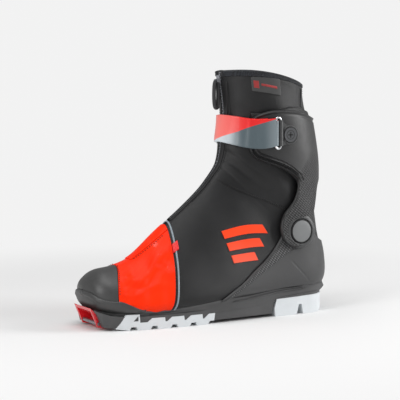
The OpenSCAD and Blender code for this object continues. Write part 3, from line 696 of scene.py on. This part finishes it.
def folds(u, a, edge):
    crease = np.zeros_like(u)
    for centre, lean, width, depth in ((9.7, 0.012, 0.16, 0.5), (10.7, 0.015, 0.2, 0.5),
                                       (11.7, 0.012, 0.2, 0.45)):
        d = (u - centre - lean * np.abs(a) - 0.06 * np.sin(np.radians(a * 5))) / width
        crease -= depth * np.exp(-d * d) * ramp(np.abs(a), 100, 30)
    swell = 0.45 * np.sin(u * 2.6 + a * 0.035) * np.sin(a * 0.06 - u) * ramp(u, 6.4, 7.6)
    swell += 1.3 * hump(u, 12.1, 0.5) * hump(np.abs(a), 48, 20)
    swell -= 0.9 * hump(u, 15.6, 0.5) * hump(np.abs(a), 42, 16)
    return (crease + swell) * ramp(edge, 0.5, 8)


def softHalf(name, side, nodes):
    def at(s, t):
        a = mix(upper["front"], 180.5, t)
        if side < 0:
            a = 360 - a[:, ::-1]
        return mix(bandFront(a) + 0.01, hemLow(a) + 0.05, s), a
    made = panel(name, at, 190, 96, -upper["thick"], lambda u, a: np.zeros_like(u), 0.5, (260, 110),
                 lambda u, a, edge: folds(u, np.where(a > 180, a - 360, a), edge))
    return finish(made, "softshell", "ankle", nodes)


softHalf("softshell_outer", 1, ["quarter_lateral", "ankle_gusset"])
softHalf("softshell_inner", -1, ["quarter_medial", "collar"])


def vampFolds(u, a, edge):
    x = np.abs(a)
    wave = 1.1 * hump(x, 62 + 9 * np.sin((u - 4.2) * 3.2), 9)
    wave -= 0.9 * hump(x, 78 + 8 * np.sin((u - 4.0) * 3.0), 8)
    wave += 0.9 * hump(x, 96 + 6 * np.sin((u - 3.6) * 3.4), 7)
    wave += 0.5 * np.sin(u * 9 + x * 0.05) * ramp(x, 20, 60)
    return wave * ramp(edge, 1, 9)


def toeShellAt(s, t):
    a = mix(-116, 116, t)
    return mix(0.05, toeSeam(a) - 0.01, s), a


made = panel("toe_shell", toeShellAt, 60, 120, -1.8, 0, 0.4, (90, 110))
finish(made, "toeFilm", "root", ["toe_cap"])


def vampAt(s, t):
    a = mix(-172, 172, t)
    return mix(toeSeam(a) + 0.005, bandFront(a) + 0.02, s), a


made = panel("vamp_film", vampAt, 60, 200, -1.8, 0.15, 0.5, (60, 200), vampFolds)
finish(made, "vampFilm", "root", ["vamp_panel"])


def graphicBar(k):
    def at(s, t):
        u = mix(7.9, 9.7 - 0.45 * k, s)
        return u, mix(76, 84, t) + 12.5 * k + 6 * (u - 8.6)
    return at


for k in range(3):
    made = panel("side_stripe_%d" % k, graphicBar(k), 60, 12, 0.0, 0.75, 0.4, (50, 12), lambda u, a,
                 edge: folds(u, a, edge + 8))
    finish(made, "sideFilm", "root", ["side_graphic"] if k == 0 else [])


def ledge(u): return mix(84, 113, ramp(u, 0, 3.4))


def randAt(s, t):
    u = mix(0.03, 4.5, s)
    b = mix(ledge(u), 172, ramp(u, 3.4, 4.5) * 0.45)
    return u, mix(b, 360 - b, t)


made = panel("toe_rand_rubber", randAt, 60, 150, 0.4, lambda u, a: mix(2.0, 1.1, ramp(u, 3, 4.5)), 1.6,
             (80, 120),
             lambda u, a, edge: 0.5 * np.exp(-((edge - 3.4) / 1.3) ** 2) * ramp(u, 3.4, 2.2))
finish(made, "toeFilm", "root", ["toe_rand"])

def block(name, low, high, inset):
    (x0, y0, z0), (x1, y1, z1) = low, high
    verts = [[x0, y0, z0], [x1, y0, z0], [x1 - inset, y0, z1], [x0 + inset, y0, z1], [x0, y1, z0],
             [x1, y1, z0], [x1 - inset, y1, z1], [x0 + inset, y1, z1]]
    faces = [[0, 1, 2, 3], [7, 6, 5, 4], [0, 4, 5, 1], [1, 5, 6, 2], [2, 6, 7, 3], [3, 7, 4, 0]]
    return newMesh(name, verts, faces, None, 20)


# a web closes the notch across the middle of the heel block
finish(block("heel_notch_web", (42.6, -22, 0.5), (52.4, 22, 11.3), 1.8), "tread", "root")


def weltHeight(u): return mix(3.6, 8.0, ramp(u, 5.0, 7.4))


def welt():
    rows = np.linspace(1.2, 10.86, 260)
    scan = np.linspace(100, 179, 400)
    verts = []
    for side in (1, -1):
        for u in rows:
            line = foot(np.full(400, u), scan * side)
            row = station(u)
            a = scan[np.argmax(line[:, 2] < row[3] + weltHeight(u))]
            tuck = ramp(u, 9.8, 10.86)
            low = foot(u, side * 179.9)
            wide = [abs(foot(u, side * b)[1]) for b in (156, 150)]
            wall = side * mix(*wide, 0.4) * mix(1.0, 0.93, tuck)
            p0, p1, p2 = [skin(u, side * (a + b), d) for b, d in ((-3, -0.6), (0, 0.95), (3, 1.25))]
            drop = mix(2.0, 4.0, ramp(u, 2.5, 6))
            mid = [mix(p2[0], low[0], 0.5), wall, low[2] + 1.2]
            verts += [p0, p1, p2, mid, [low[0], wall * 0.99, low[2] - drop],
                      [low[0], wall * 0.9, low[2] - drop]]
    verts, faces = np.array(verts, float), []
    for b in range(2):
        for i in range(len(rows) - 1):
            for j in range(6):
                k, m = b * len(rows) * 6 + i * 6 + j, b * len(rows) * 6 + i * 6 + (j + 1) % 6
                f = [k, k + 6, m + 6, m]
                faces.append(f if b == 0 else f[::-1])
    return newMesh("sole_welt", verts, faces, None, 50)


finish(welt(), "sole", "root")

angles = np.linspace(-153, 153, 40)
made = beadOn("piping_cord", bandFront(angles) + 0.125, angles, 0.35, 0.95, flat=0.75)
finish(made, "reflector", "root", ["piping"])


def tagAt(s, t):
    a = mix(51.5, 63, t)
    return bandFront(a) + mix(0.02, 0.24, s), a


made = panel("side_tag_fold", tagAt, 8, 14, 0.3, 2.3, 0.7, (6, 12))
finish(made, "strapRed", "root", ["side_tag"])


def flapFilmAt(s, t):
    u = mix(4.75, 6.28, s)
    return u, mix(-15, 15 + 10 * ramp(u, 4.9, 6.2), t)


made = panel("zip_flap_film", flapFilmAt, 30, 30, 0.3, 1.3, 0.7, (50, 30))
finish(made, "vampFilm", "root", ["zip_flap"])
print("foot covered")


# the parts inside the shaft
def liningAt(s, t):
    a = mix(5, 355, t)
    return mix(1.2, 17.9, s), a


def liningHigh(u, a):
    b = np.where(a > 180, 360 - a, a)
    return -2.5 - 1.6 * ramp(b, 118, 158) * (1 - ramp(u, 9.6, 11))


def liningLow(u, a):
    pad = 0.7 * np.sin((u - 12.5) * 2 * np.pi / 1.35) ** 2 * ramp(u, 12.3, 13)
    return liningHigh(u, a) - 2.9 - pad


made = panel("padded_lining", liningAt, 170, 120, liningLow, liningHigh, 0.0, (380, 200))
finish(made, "lining", "ankle", ["liner_foot", "liner_shaft"])


# the moulded cuff and the heel counter
cuff = {"low": 4.0, "thick": 2.6, "lipHeight": 2.3, "roll": 1.3}
cuffOutline = rounded([[110, 219], [97, 224], [85, 226], [60, 225], [43, 221.5], [30, 217], [-10, 212],
                       [-10, 150], [8, 150], [17, 146], [21, 140], [26, 126], [31, 112], [34.8, 102],
                       [36, 92], [40, 82], [48, 75.5], [57, 74.6], [66, 77.5], [73, 84], [76.2, 94],
                       [75, 104], [71.5, 113], [64.6, 120.5], [59, 127.7], [55, 138], [54.6, 145],
                       [57, 149.5], [61, 152.5], [68, 158], [79, 163.5], [94, 168.5], [106, 173],
                       [111, 179], [113, 190], [113, 205]], 2)
lipLine = np.array([[53.5, 141], [54.4, 145.6], [57.2, 149.8], [61.5, 153], [68.5, 158], [79.5, 163.4],
                    [94, 168.4], [105.4, 172.8], [110.6, 179], [112.4, 186]])


def cuffRelief(u, a, edge, p):
    # two lips along the lower front edge, and a rounded rim along the top
    near = insideOf(lipLineClosed, p[:, [0, 2]])[1]
    gap = np.linalg.norm(p[:, [0, 2]] - near, axis=1)
    inFront = ramp(p[:, 0], 52, 58) * ramp(p[:, 2], 190, 180)
    lips = hump(gap, 1.4, 0.8) + 0.95 * hump(gap, 5.6, 0.9) - 0.5 * hump(gap, 3.5, 0.8)
    rim = 1.1 * hump(edge, 1.7, 1.0) - 0.6 * hump(edge, 4.2, 1.0)
    rim = rim * ramp(p[:, 2], 188, 200)
    arm = 1.0 * ramp(p[:, 2], 140, 112) - 1.6 * ramp(np.hypot(p[:, 0] - 51, p[:, 2] - 93), 15, 13)
    return cuff["lipHeight"] * lips * inFront + rim + arm


lipLineClosed = np.concatenate([lipLine, lipLine[::-1] + [0, 0.001]])
made = trimmed("cuff_plate", (9.6, 17.1), (38, 322), 230, 300, cuffOutline, cuff["low"],
               cuff["low"] + cuff["thick"], cuff["roll"], cuffRelief)
finish(made, "cuffRibbed", "cuff", ["cuff_shell"])
turnIn = np.gradient(lipLine, axis=0)
turnIn = np.stack([turnIn[:, 1], -turnIn[:, 0]], 1) / np.linalg.norm(turnIn, axis=1, keepdims=True)
for k, inset in enumerate((3.5, 8.0)):  # near-black beads along the two lips, as painted shade in their grooves
    at = onSide((lipLine - turnIn * inset)[1:-1 if k else None], cuff["low"] + cuff["thick"])
    for side in (1, -1):
        made = beadOn("lip_groove_shade_%d_%s" % (k, sideName(side)), at[:, 0], at[:, 1] * side,
                      cuff["low"] + cuff["thick"] + 0.25, 0.7, flat=0.6)
        finish(made, "thread", "cuff")

counterOutline = rounded([[157, 22], [143, 31.5], [125, 41.5], [110, 53], [94, 63.5], [81, 76], [73, 87],
                          [64, 101], [55, 107], [43, 105], [34, 96], [24, 85], [12, 79], [-12, 76],
                          [-12, 31], [16, 30.6], [42, 31.6], [65, 31.6], [89, 29.9], [110, 28.3],
                          [137, 27.4], [151, 23.4]], 1)


def counterRelief(u, a, edge, p):
    rimLine = hump(edge, 1.8, 1.0) * ramp(p[:, 0] * 0.6 + p[:, 2], 80, 96)
    groove = ((p[:, 0] - 51) * 0.481 + (p[:, 2] - 77) * 0.876)
    seam = hump(p[:, 0], 46 + (p[:, 2] - 46) * 1.05, 0.7) * ramp(p[:, 2], 62, 58) * ramp(p[:, 2], 34, 38)
    return 0.3 * rimLine - 0.6 * hump(groove, 0, 0.8) * ramp(p[:, 0], 48, 56) - 0.4 * seam


made = trimmed("heel_counter_shell", (6.9, 13.1), (84, 276), 150, 180, counterOutline, 0.6, 3.0, 1.2,
               counterRelief)
finish(made, "counterRibbed", "root", ["heel_counter"])


def lathe(name, profile, place, steps=96):
    turn = np.linspace(0, 2 * np.pi, steps, endpoint=False)
    side = 1 if place[1] > 0 else -1
    verts = [[place[0] + r * math.cos(w), place[1] + side * h, place[2] + r * math.sin(w)]
             for r, h in profile for w in turn]
    n = len(profile)
    i, j = np.meshgrid(np.arange(n), np.arange(steps), indexing="ij")
    k, m = (i * steps + j).ravel(), (i * steps + (j + 1) % steps).ravel()
    faces = np.stack([k, m, (m + steps) % (n * steps), (k + steps) % (n * steps)], 1)
    return newMesh(name, verts, faces if side > 0 else faces[:, ::-1], None, 40)


pivot = {"x": 51, "z": 93, "inner": 13.9, "outer": 19.4}
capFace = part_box("pivot_caps")[1].y / mm
for side in (-1, 1):
    seat = capFace - 2.4
    inner, outer = pivot["inner"], pivot["outer"]
    ring = [[inner, -2.6], [inner, 0.3], [inner + 0.35, 0.62], [inner + 1.0, 0.7], [outer - 2.6, 0.1],
            [outer - 1.0, -0.7], [outer - 0.25, -1.6], [outer, -2.6], [outer - 0.5, -4.2]]
    made = lathe("pivot_ring_%s" % sideName(side), ring, (pivot["x"], side * seat, pivot["z"]))
    finish(made, "tab", "cuff")
# a near-black ring in the gap round each pivot cap, as painted shadow
for side in (-1, 1):
    seat = [[11.8, 1.3], [11.9, 1.6], [12.6, 1.36], [13.0, 0.9], [13.7, -1.2], [13.0, -2.2]]
    made = lathe("pivot_gap_shadow_%s" % sideName(side), seat, (pivot["x"], side * (capFace - 2.4), pivot["z"]))
    finish(made, "thread", "cuff")
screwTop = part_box("tab_screw")[1].y / mm
screw = {"x": 70, "z": 199}
made = lathe("tab_boss_ring", [[8.5, -0.3], [8.6, 0.6], [9.2, 1.0], [10.0, 0.5], [10.3, -0.4]],
             (screw["x"], screwTop - 1.5, screw["z"]))
finish(made, "tab", "cuff")
# near-black rings round the screw head and its dish, as painted shade in their grooves
for name, inner, outer, high in (("screw_edge_shade_ring", 7.7, 8.6, -0.5),
                                 ("screw_dish_shade_ring", 4.5, 5.1, 0.0)):
    made = lathe(name, [[inner, high - 0.2], [inner, high + 0.1], [outer, high + 0.1],
                        [outer, high - 0.2]], (screw["x"], screwTop, screw["z"]))
    finish(made, "thread", "cuff")


# a near-black cross on the screw head, as painted shade in its cross recess
def crossRecessShade():
    verts, faces = [], []
    for half, wide in ((3.2, 0.8), (0.8, 3.2)):
        n = len(verts)
        verts += [[screw["x"] + sx * half, screwTop + h, screw["z"] + sz * wide]
                  for h in (-0.2, 0.08) for sx, sz in ((-1, -1), (1, -1), (1, 1), (-1, 1))]
        faces += [[n + m for m in f]
                  for f in ((0, 1, 2, 3), (7, 6, 5, 4), (0, 4, 5, 1), (1, 5, 6, 2), (2, 6, 7, 3), (3, 7, 4, 0))]
    return newMesh("screw_cross_shade", verts, faces, np.zeros((16, 3)), 30)


finish(crossRecessShade(), "thread", "cuff")


def cuffTop(a): return 15.3 + 1.05 * ramp(np.where(a > 180, 360 - a, a), 45, 120)


def paddingAt(s, t):
    a = mix(48, 312, t)
    return cuffTop(a) + mix(-1.3, 0.3, s), a


made = panel("cuff_cushion", paddingAt, 30, 130, 0.3, 3.3, 2.4, (36, 190))
finish(made, "softshell", "cuff", ["cuff_padding"])
print("cuff and counter made")


# the collar and its hem
def hemAt(s, t):
    a = mix(7, 353, t)
    return mix(hemLow(a), 17.97, s), a


def hemRelief(u, a, edge):  # a knitted band, slightly wavy, with a rolled edge
    knit = np.sin(a * 1.9) * np.sin(a * 0.43)
    return 0.25 * hump(edge, 1.6, 0.8) + 0.22 * knit * ramp(edge, 0.5, 3)


made = panel("collar_binding", hemAt, 14, 260, -5.4, 0.7, 1.4, (10, 230), hemRelief)
finish(made, "meshBand", "cuff", ["collar_hem"])


def patchAt(s, t):  # drawn in at the corners
    tuck = 0.05 * np.clip(np.abs(2 * t - 1) * 12 - 11, 0, 1) ** 2
    return mix(16.84 + tuck, 17.56 - tuck, s) + 0.1 * t, mix(54, 93, t)


made = panel("collar_patch", patchAt, 10, 60, 0.05, 0.85, 0.6, (16, 24))
finish(made, "toeFilm", "cuff", ["collar_label"])
for k, (start, width, tall) in enumerate(((57, 7, 0.34), (67, 21, 0.1))):  # a woven square and bar
    def badgeAt(s, t, start=start, width=width, tall=tall):
        middle = 17.22 + 0.1 * (start - 54) / 39
        return mix(middle - tall / 2, middle + tall / 2, s), mix(start, start + width, t)
    made = panel("patch_badge_%d" % k, badgeAt, 6, 14, 0.7, 1.1, 0.25, (6, 12))
    finish(made, "badge", "cuff")
made = panel("rear_ladder_tape", lambda s, t: (mix(16.75, 17.6, s), mix(-3, 3, t) + mix(132, 143, s)), 40,
             6, 0.05, 0.7, 0.0, (18, 4),
             lambda u, a, edge: 0.35 * np.sin((u - 16.75) * 60))
finish(made, "tape", "cuff", ["rear_tape"])


# the zip with its slider and pull
zipper = {"from": 6.55, "to": 17.93, "pitch": 1.9}
made = panel("zip_tapes", lambda s, t: (mix(zipper["from"], zipper["to"], s), mix(-7.5, 7.5, t)), 150, 10,
             -1.5, -0.35, 0.0, (250, 9))
finish(made, "tape", "ankle", ["zip_lower", "zip_chain"])


def teeth():
    fine = np.linspace(zipper["from"], zipper["to"], 600)
    line = skin(fine, np.zeros(600), -0.1)
    n = outward(fine, np.zeros(600))
    run = lengths(line, 0)
    points, faces = [], []
    for k in range(int(run[-1] / zipper["pitch"])):
        d = (k + 0.5) * zipper["pitch"]
        p = np.array([np.interp(d, run, line[:, m]) for m in range(3)])
        up = np.array([np.interp(d, run, n[:, m]) for m in range(3)])
        q = np.array([np.interp(d + 0.5, run, line[:, m]) for m in range(3)])
        fwd = (q - p) / np.linalg.norm(q - p)
        side = np.array([0, 1.0, 0])
        shift = 0.55 if k % 2 else -0.55
        start = len(points)
        for h, size in ((-0.3, 1.0), (0.42, 0.75)):
            for sx, sy in ((-1, -1), (1, -1), (1, 1), (-1, 1)):
                points.append(p + up * h + side * (shift + sy * 1.25 * size) + fwd * sx * 0.62 * size)
        faces += [[start + m for m in f]
                  for f in ((0, 1, 5, 4), (1, 2, 6, 5), (2, 3, 7, 6), (3, 0, 4, 7), (4, 5, 6, 7), (3, 2, 1, 0))]
    return newMesh("zip_teeth", points, faces, np.zeros((len(points), 3)), 30)


finish(teeth(), "zipMetal", "ankle")
for side in (-1, 1):
    def flapAt(s, t, side=side):
        u = mix(6.5, 17.3, s)
        a = mix(3.2, 12.5 + 5 * ramp(u, 15, 17.2), t)
        return u, (a if side > 0 else -a[:, ::-1])
    made = panel("zip_garage_%s" % sideName(side), flapAt, 150, 14, 0.05, 1.0, 0.9, (250, 8))
    finish(made, "softshell", "ankle")

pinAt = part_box("zip_pull")


def pullLoop():
    low, high = pinAt
    x = (low.x + high.x) / 2
    top, bottom = high.z - 0.0016, low.z + 0.004
    turn = np.linspace(0, 2 * np.pi, 49)
    tall = (top - bottom) / mm
    path = []
    for w in turn:
        z = -tall / 2 + (tall / 2) * math.cos(w)
        belly = (3.2 if math.sin(w) >= 0 else -1.9) * abs(math.sin(w)) ** 0.6
        path.append([belly, 0, z])
    base = np.array([x / mm + 286, 0, top / mm + 6.5])
    return bead("zip_pull_cord", np.array(path) + base, 1.75, sides=14, up=[0, 1, 0], flat=1.7)


finish(pullLoop(), "tape", "pull", ["zip_pull"])
print("collar and zip made")


# the strap, from its rivet to the tail
# the strap's run along its length, which steers both its print and its painted highlight
def printAndHighlightLay(base, s):
    return (-0.8746 * base[..., 0] + 0.4848 * base[..., 1] + 117.6) / 58.6, s


def strapAt(first, final):
    def at(s, t):
        a = mix(first, final, t)
        return strapU(s, a), a
    return at


made = panel("strap_band", strapAt(-84, 68), 16, 130, lambda u, a: strapRise(a), lambda u,
             a: strapRise(a) + 1.6, 0.7, (29, 200),
             mark=printAndHighlightLay)
finish(made, "strapPrintAndHighlight", "cuff", ["strap_base"])


def tailLow(u, a): return strapRise(a) + 1.9 + 5.2 * ramp(a, 52, 75)


made = panel("strap_end", strapAt(-16, 75), 16, 110, tailLow, lambda u, a: tailLow(u, a) + 1.6, 0.6,
             (29, 110), mark=printAndHighlightLay)
finish(made, "strapPrintAndHighlight", "tail", ["strap_tail"])


def strapFold():
    low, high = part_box("strap_ring")
    ring = np.array([88.5, (low.y + high.y) / 2 / mm])
    turn = np.radians(np.linspace(-96, 100, 40))
    verts, faces = [], []
    for z in (201 - 13.6, 201 - 13.2, 201 + 13.2, 201 + 13.6):
        for r in (1.5, 3.1):
            r = r if abs(z - 201) < 13.4 else (2.0 if r < 2 else 2.7)
            verts += [[ring[0] - r * math.cos(w) * 1.0, ring[1] + r * math.sin(w), z] for w in turn]
    rows = [0, 2, 4, 6, 7, 5, 3, 1]
    for m in range(8):
        p, q = rows[m] * 40, rows[(m + 1) % 8] * 40
        faces += [[p + k, q + k, q + k + 1, p + k + 1] for k in range(39)]
    faces += [[rows[m] * 40 for m in range(8)][::-1], [rows[m] * 40 + 39 for m in range(8)]]
    run = [1.0] * len(verts)
    lay = np.stack([run, (np.array(verts)[:, 2] - 187) / 28, np.full(len(verts), 3.0)], 1)
    return newMesh("strap_fold", verts, faces, lay, 40)


finish(strapFold(), "strapPrintAndHighlight", "tail")


# the seams
def flat(values): return np.asarray(values, float)


def both(u, a): return [(flat(u), flat(a)), (flat(u), -flat(a))]


seamU, seamA = [8.9, 9.43, 10.13, 11.07, 11.8], [19, 41.5, 56.5, 72, 90.5]
ankleRuns = both(seamU, seamA)
# beads along the ankle seams in the near-black thread finish: the seam itself, darkened as painted shade
for k, (u, a) in enumerate(ankleRuns):
    finish(beadOn("ankle_seam_shade_%d" % k, u, a, 0.08, 0.6, 1.5, sides=8), "thread", "ankle")
runs = both(flat(seamU) + 0.09, seamA) + both([17.2, 12.93, 11.5, 10.2, 8.93, 7.4],
                                              [18.5, 16.5, 15.5, 15, 14.8, 14.8])
finish(stitched("stitching", runs), "thread", "ankle")
eyelets = both([4.85, 5.37, 5.73, 6.13], [17.5, 22, 26.5, 28])
toeAngles = [10, 40, 70, 100]
eyelets += both(toeSeam(flat(toeAngles)) + 0.06, toeAngles)
finish(stitched("vamp_stitching", eyelets, 0.4, 3.0, 0.38, 0.5), "thread", "root")
print("seams sewn")


# the room, the lights and the camera
room = {"pale": 0.89, "lights": 1.0, "fill": 0.42, "paper": 0.80}


def floor():
    turn = np.linspace(0, 2 * np.pi, 97)[:-1]
    rings = [0.0, 0.15, 0.3, 0.5, 0.8, 1.3, 2.2, 4, 8]
    points = [[0, 0, 0]] + [[r * 1000 * math.cos(w), r * 1000 * math.sin(w),
                             0] for r in rings[1:] for w in turn]
    faces = [[0, 1 + k, 1 + (k + 1) % 96] for k in range(96)]
    for m in range(len(rings) - 2):
        faces += [[1 + m * 96 + k, 1 + (m + 1) * 96 + k, 1 + (m + 1) * 96 + (k + 1) % 96,
                   1 + m * 96 + (k + 1) % 96] for k in range(96)]
    points = np.array(points, float) + [150, 0, 0]
    made = newMesh("floor", points, faces)
    paint = Paint("floorPaper", Roughness=0.9, Specular_IOR_Level=0.1)
    x, y, z = paint.axes(paint.place())
    reach = ((x + 0.14) * (x + 0.14) + y * y).math("SQRT")
    near, far = (room["paper"],) * 3, (room["paper"] * 1.02,) * 3
    paint.set(Base_Color=paint.blend(paint.noise(300, 3), near, far))
    glow = paint.node("Emission", {}, {"Color": (room["pale"],) * 3 + (1.0,), "Strength": 1.0})
    paper = Field(paint, paint.shader.outputs[0])
    mixed = paint.node("MixShader", {}, {0: reach.step(0.22, 0.75), 1: paper, 2: glow})
    paint.feed(paint.tree.nodes["Material Output"].inputs[0], mixed)
    made.data.materials.append(paint.material)


floor()
world = bpy.data.worlds.new("studio")
bpy.context.scene.world = world
world.use_nodes = True
back = world.node_tree.nodes["Background"]
back.inputs[0].default_value = (room["pale"],) * 3 + (1.0,)
sight = world.node_tree.nodes.new("ShaderNodeLightPath")
strength = world.node_tree.nodes.new("ShaderNodeMapRange")  # dimmer as light than as a backdrop
strength.inputs[3].default_value, strength.inputs[4].default_value = room["fill"], 1.0
world.node_tree.links.new(sight.outputs["Is Camera Ray"], strength.inputs[0])
world.node_tree.links.new(strength.outputs[0], back.inputs[1])

target = Vector(rowPoint(155.67, 0, 128.42))


def softbox(name, place, size, watts, aim=(0, 0, 0)):
    data = bpy.data.lights.new(name, "AREA")
    data.shape, data.size, data.size_y, data.energy = "RECTANGLE", size[0], size[1], watts * room["lights"]
    made = bpy.data.objects.new(name, data)
    bpy.context.scene.collection.objects.link(made)
    made.location = target + Vector(place)
    made.rotation_euler = (-(Vector(place) - Vector(aim))).to_track_quat("-Z", "Y").to_euler()


softbox("top_box", (0.15, 0.15, 1.3), (1.0, 1.0), 9)
softbox("front_box", (1.2, 0.45, 0.55), (0.5, 1.0), 8)
softbox("side_box", (-1.1, 0.55, 0.45), (0.5, 1.0), 12)

yaw, tilt = math.radians(29), math.radians(4.6)
away = Vector((math.sin(yaw) * math.cos(tilt), math.cos(yaw) * math.cos(tilt), math.sin(tilt)))
camera = bpy.data.objects.new("camera", bpy.data.cameras.new("camera"))
bpy.context.scene.collection.objects.link(camera)
camera.location = target + away * 1.5
camera.rotation_euler = (-away).to_track_quat("-Z", "Y").to_euler()
camera.data.lens, camera.data.sensor_width = 124.6, 36
camera.data.clip_start, camera.data.clip_end = 0.05, 50
bpy.context.scene.camera = camera
bpy.context.scene.view_settings.view_transform = "Standard"

print("ready")
